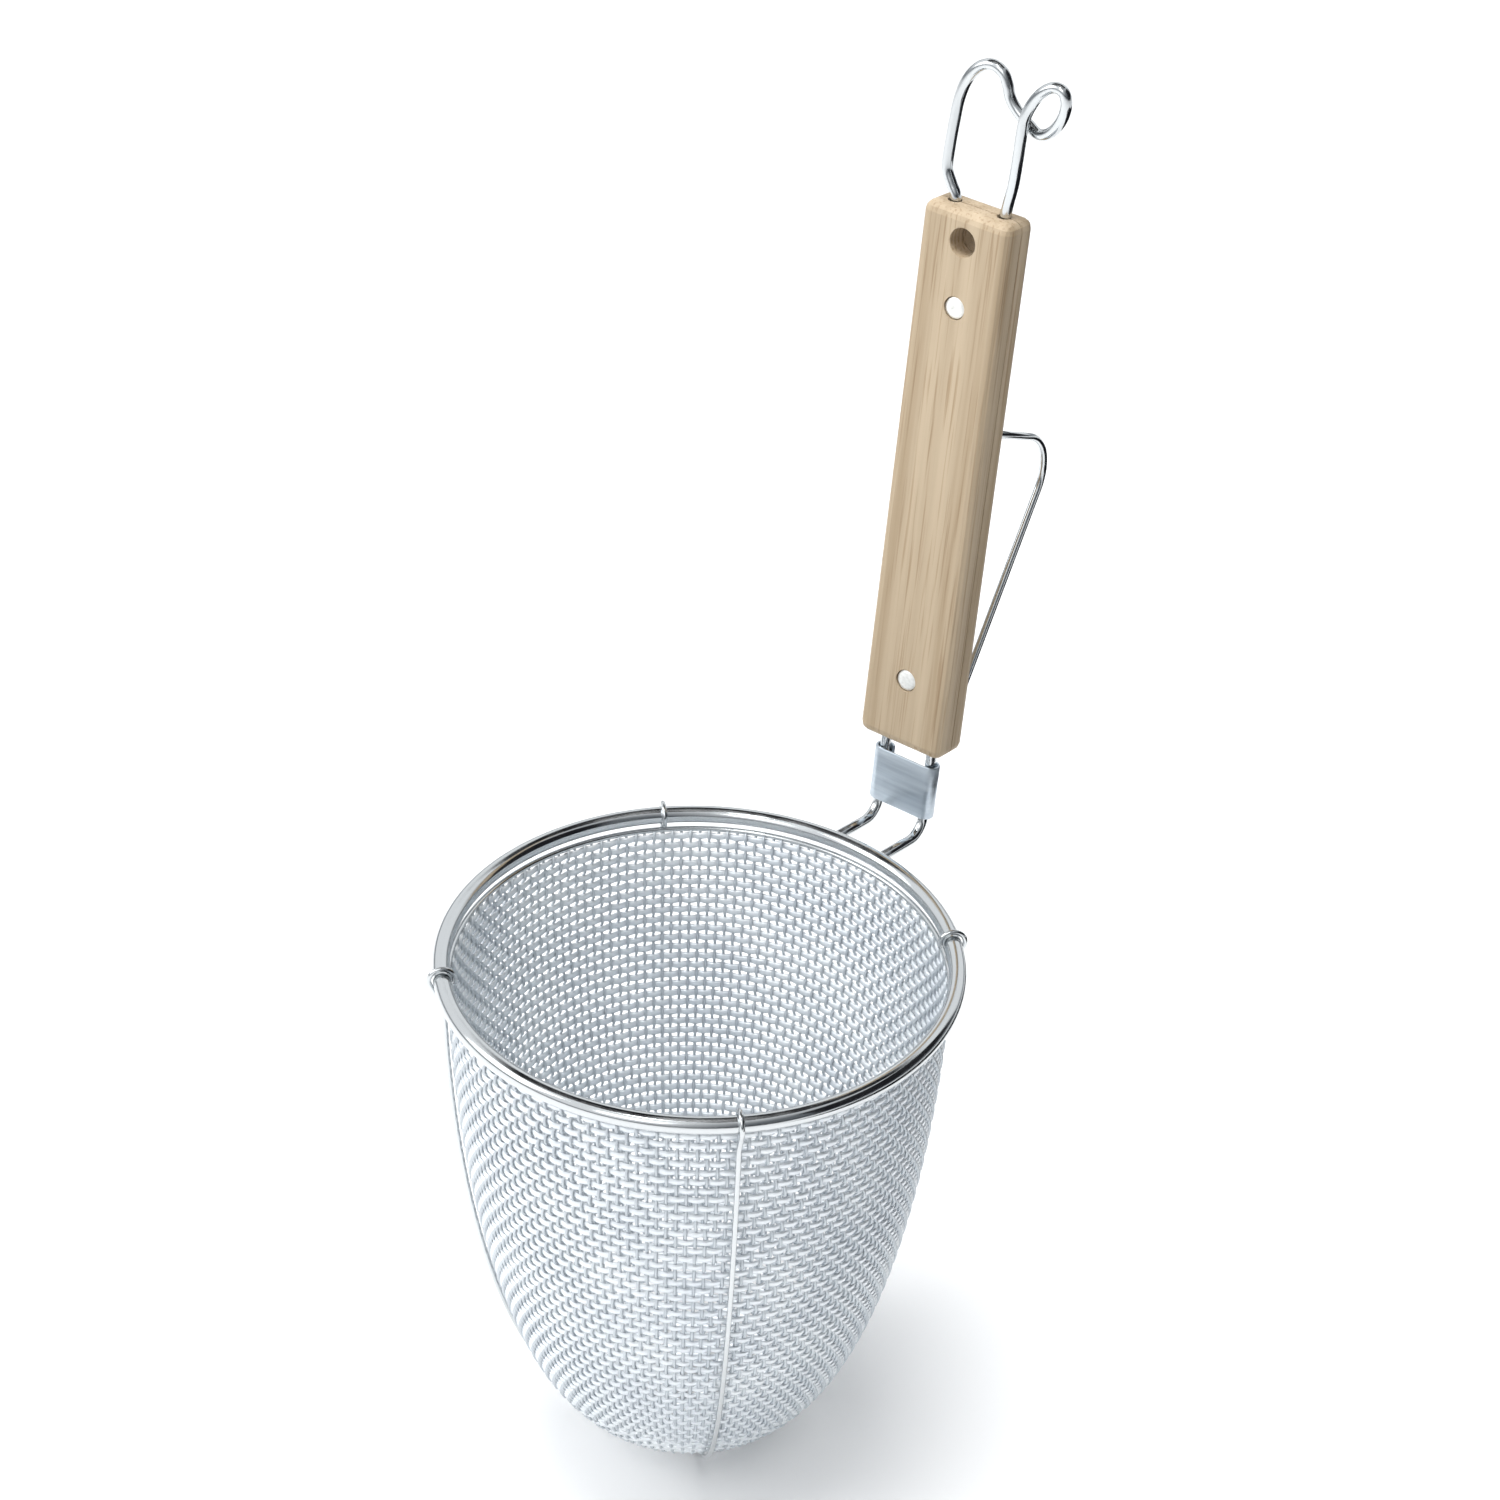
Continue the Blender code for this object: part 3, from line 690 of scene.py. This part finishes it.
def make_world():
    """Soft white light, darker near the horizon and on the right, that is plain white to the camera."""
    world = bpy.data.worlds.new("studio")
    world.use_nodes = True
    tree = world.node_tree
    place = tree.nodes.new("ShaderNodeTexCoord")
    split = tree.nodes.new("ShaderNodeSeparateXYZ")
    tree.links.new(place.outputs["Generated"], split.inputs["Vector"])
    sky = ramp(tree, split.outputs["Z"], ((0.0, (0.30, 0.32, 0.34)), (0.10, (0.34, 0.36, 0.38)),
                                          (0.24, (0.96, 0.98, 1.0))))
    wall = ramp(tree, split.outputs["X"], ((0.15, (1.0, 1.0, 1.0)), (0.80, (0.16, 0.17, 0.18))))
    seen = tree.nodes.new("ShaderNodeMix")
    seen.data_type = "RGBA"
    seen.inputs["B"].default_value = (1.0, 1.0, 1.0, 1.0)
    rays = tree.nodes.new("ShaderNodeLightPath")
    tree.links.new(rays.outputs["Is Camera Ray"], seen.inputs["Factor"])
    tree.links.new(mixed(tree, sky, wall, "MULTIPLY", 1.0), seen.inputs["A"])
    tree.links.new(seen.outputs["Result"], tree.nodes["Background"].inputs["Color"])
    tree.nodes["Background"].inputs["Strength"].default_value = 1.05
    bpy.context.scene.world = world


def make_lights_and_camera():
    """Three soft lights, plain colour handling, and the camera turned by its roll."""
    add_light("key", (-1.3, -1.2, 1.3), LIT_MIDDLE, (1.2, 1.2), 14.0)
    add_light("fill", (0.3, -1.6, 1.5), LIT_MIDDLE, (0.9, 0.9), 4.0)
    add_light("top", (-0.05, -0.10, 1.5), (0.0, AXIS_Y, 0.1), (0.7, 0.7), 15.0)
    bpy.context.scene.view_settings.view_transform = "Standard"

    aim = (TARGET - EYE).to_track_quat("-Z", "Y").to_matrix()
    camera_data = bpy.data.cameras.new("camera")
    camera_data.lens = LENS
    camera_data.sensor_width = 36.0
    camera_data.clip_start = 0.01
    camera = bpy.data.objects.new("camera", camera_data)
    camera.matrix_world = Matrix.Translation(EYE) @ (aim @ Matrix.Rotation(ROLL, 3, "Z")).to_4x4()
    bpy.context.scene.collection.objects.link(camera)
    bpy.context.scene.camera = camera


# ---- making everything ----
wire_paint = polished_steel()
hoop_paint = mesh_steel("hoop_wire", (0.74, 0.78, 0.82), (0.84, 0.87, 0.89))
# Painted shade: the upright wires are the same steel as the hoops, given darker colours to stand for the
# shade in the gaps between the hoops.
shaded_upright_paint = mesh_steel("upright_wire_painted_shade", (0.52, 0.56, 0.60), (0.64, 0.68, 0.71))
sheet_paint = satin_steel()
rivet_paint = rivet_metal()
wood_paint = pale_wood()

make_hoops(hoop_paint)
make_uprights(shaded_upright_paint)
make_ring("rim_wire", RIM_RADIUS, RIM_WIRE, RIM_Z, wire_paint, ("rim_ring",))
make_ring("hem_hoop", HEM_RADIUS, HEM_WIRE, RIM_Z - HEM_DROP, wire_paint, ("hem_wire",), 12)
make_cross_wire("support_lower", "cross_wire_lower", math.radians(-45),
                2 * CROSS_WIRE + CROSS_GAP, wire_paint)
make_cross_wire("support_upper", "cross_wire_upper", math.radians(45), 0.0, wire_paint)
make_handle_wire(wire_paint)
make_welds(wire_paint)
make_neck_plate(sheet_paint)
make_rest_clip(wire_paint)
for half in ("handle_front_half", "handle_back_half"):
    repaint(half, wood_paint)
for label in ("upper", "lower"):
    repaint("rivet_" + label, rivet_paint)
    repaint("washer_" + label, rivet_paint)
make_floor_and_cards()
make_world()
make_lights_and_camera()
